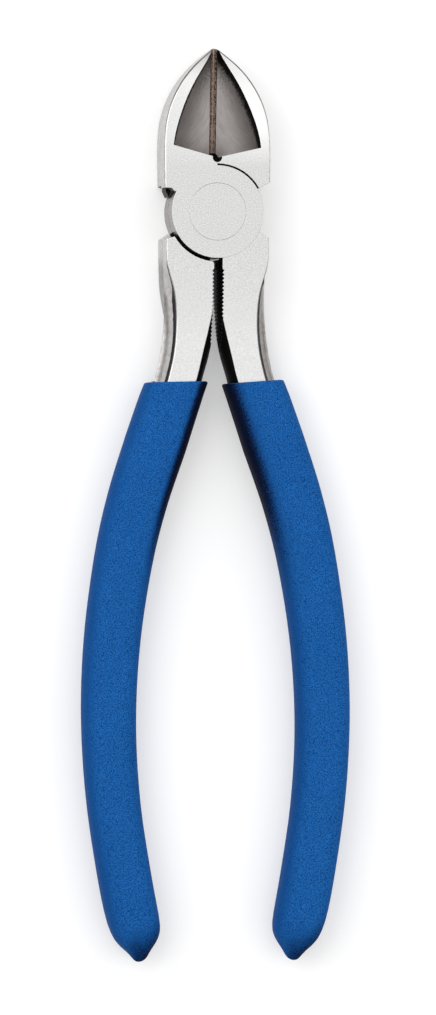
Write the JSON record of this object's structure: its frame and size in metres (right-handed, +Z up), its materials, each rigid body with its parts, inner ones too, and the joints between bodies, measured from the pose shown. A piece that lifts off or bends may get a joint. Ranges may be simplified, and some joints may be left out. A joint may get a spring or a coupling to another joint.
{
  "type": "diagonal cutting pliers",
  "caption": "Diagonal cutting pliers: two forged steel halves on a riveted lap joint, ground cutting jaws and curved handles with dipped blue grips.",
  "frame": {"origin": "on the pivot axis, at the plane that the pliers lie on, which is the rear face of the joint", "axes": "+Y to the jaw tips, +X to the right seen from above, +Z up along the pivot axis through the front face"},
  "size_m": [0.0544, 0.1826, 0.011],
  "materials": {
    "polished_steel": "satin polished forging with ground cutting edges",
    "rivet_steel": "rivet heads ground flush with the joint",
    "dipped_plastic": "dipped vinyl with a fine matte texture"
  },
  "bodies": {
    "front_body": {"front_half": "polished_steel", "rivet": "rivet_steel", "right_grip": "dipped_plastic"},
    "rear_body": {"rear_half": "polished_steel", "left_grip": "dipped_plastic"}
  },
  "joints": [
    {"name": "pivot", "type": "hinge", "parent": "front_body", "child": "rear_body", "pos_m": [0, 0, 0.0055], "axis": [0, 0, -1], "range_deg": [0, 40]}
  ]
}
